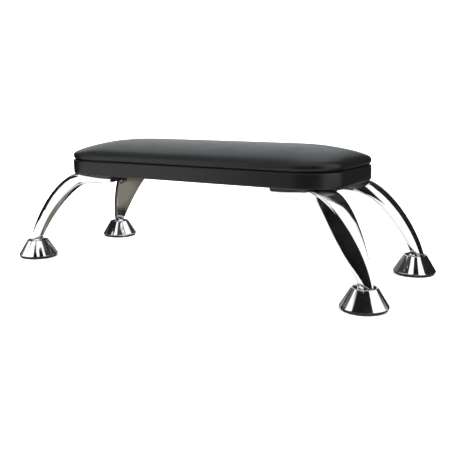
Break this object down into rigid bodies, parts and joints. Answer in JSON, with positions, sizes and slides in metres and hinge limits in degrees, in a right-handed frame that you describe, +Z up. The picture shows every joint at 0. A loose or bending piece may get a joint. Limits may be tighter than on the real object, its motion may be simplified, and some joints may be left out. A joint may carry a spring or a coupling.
{
  "type": "tattoo armrest",
  "caption": "Tabletop armrest: a long crowned cushion on a wrapped board, curved chrome legs that bend over its corners and narrow downward, and bell feet that screw out to level it.",
  "frame": {"origin": "on the table, under the middle of the pad", "axes": "+X along the pad, +Y across it, +Z up; both halves are alike"},
  "size_m": [0.477, 0.201, 0.1441],
  "materials": {
    "leatherette": "black leatherette, fine grain, semi-gloss",
    "foam": "open-cell upholstery foam",
    "plywood": "raw plywood",
    "fibreboard": "raw fibreboard",
    "lining": "black non-woven cloth",
    "zinc": "zinc plated",
    "black_steel": "satin black paint",
    "black_bolts": "black oxide",
    "chrome": "polished chrome plate",
    "rubber": "matt moulded rubber"
  },
  "bodies": {
    "frame": {"top_cover": "leatherette", "cushion_foam": "foam", "cushion_board": "plywood", "cushion_staples": "zinc", "base_board": "fibreboard", "base_cover": "leatherette", "base_staples": "zinc", "bottom_lining": "lining", "cushion_screws": "zinc", "left_leg_plate": "black_steel", "right_leg_plate": "black_steel", "plate_screws": "zinc", "leg_bolts": "black_bolts", "leg_tee_nuts": "zinc", "rear_right_leg": "chrome", "front_right_leg": "chrome", "rear_left_leg": "chrome", "front_left_leg": "chrome"},
    "rear_right_pad": {"rear_right_rubber_pad": "rubber"},
    "rear_right_bell": {"rear_right_bell_foot": "chrome", "rear_right_foot_bolt": "zinc", "rear_right_foot_washer": "zinc"},
    "front_right_pad": {"front_right_rubber_pad": "rubber"},
    "front_right_bell": {"front_right_bell_foot": "chrome", "front_right_foot_bolt": "zinc", "front_right_foot_washer": "zinc"},
    "rear_left_pad": {"rear_left_rubber_pad": "rubber"},
    "rear_left_bell": {"rear_left_bell_foot": "chrome", "rear_left_foot_bolt": "zinc", "rear_left_foot_washer": "zinc"},
    "front_left_pad": {"front_left_rubber_pad": "rubber"},
    "front_left_bell": {"front_left_bell_foot": "chrome", "front_left_foot_bolt": "zinc", "front_left_foot_washer": "zinc"}
  },
  "joints": [
    {"name": "rear_right_foot_drop", "type": "slide", "parent": "frame", "child": "rear_right_pad", "axis": [0, 0, -1], "range_m": [0, 0.003]},
    {"name": "rear_right_foot_turn", "type": "hinge", "parent": "rear_right_pad", "child": "rear_right_bell", "pos_m": [0.2152, 0.0772, 0.0105], "axis": [0, 0, -1], "range_deg": [0, 1350]},
    {"name": "front_right_foot_drop", "type": "slide", "parent": "frame", "child": "front_right_pad", "axis": [0, 0, -1], "range_m": [0, 0.003]},
    {"name": "front_right_foot_turn", "type": "hinge", "parent": "front_right_pad", "child": "front_right_bell", "pos_m": [0.2152, -0.0772, 0.0105], "axis": [0, 0, -1], "range_deg": [0, 1350]},
    {"name": "rear_left_foot_drop", "type": "slide", "parent": "frame", "child": "rear_left_pad", "axis": [0, 0, -1], "range_m": [0, 0.003]},
    {"name": "rear_left_foot_turn", "type": "hinge", "parent": "rear_left_pad", "child": "rear_left_bell", "pos_m": [-0.2152, 0.0772, 0.0105], "axis": [0, 0, -1], "range_deg": [0, 1350]},
    {"name": "front_left_foot_drop", "type": "slide", "parent": "frame", "child": "front_left_pad", "axis": [0, 0, -1], "range_m": [0, 0.003]},
    {"name": "front_left_foot_turn", "type": "hinge", "parent": "front_left_pad", "child": "front_left_bell", "pos_m": [-0.2152, -0.0772, 0.0105], "axis": [0, 0, -1], "range_deg": [0, 1350]}
  ],
  "couplings": [
    {"joint": "rear_right_foot_drop", "follows": "rear_right_foot_turn", "m_per_rad": 0.00012732},
    {"joint": "front_right_foot_drop", "follows": "front_right_foot_turn", "m_per_rad": 0.00012732},
    {"joint": "rear_left_foot_drop", "follows": "rear_left_foot_turn", "m_per_rad": 0.00012732},
    {"joint": "front_left_foot_drop", "follows": "front_left_foot_turn", "m_per_rad": 0.00012732}
  ]
}
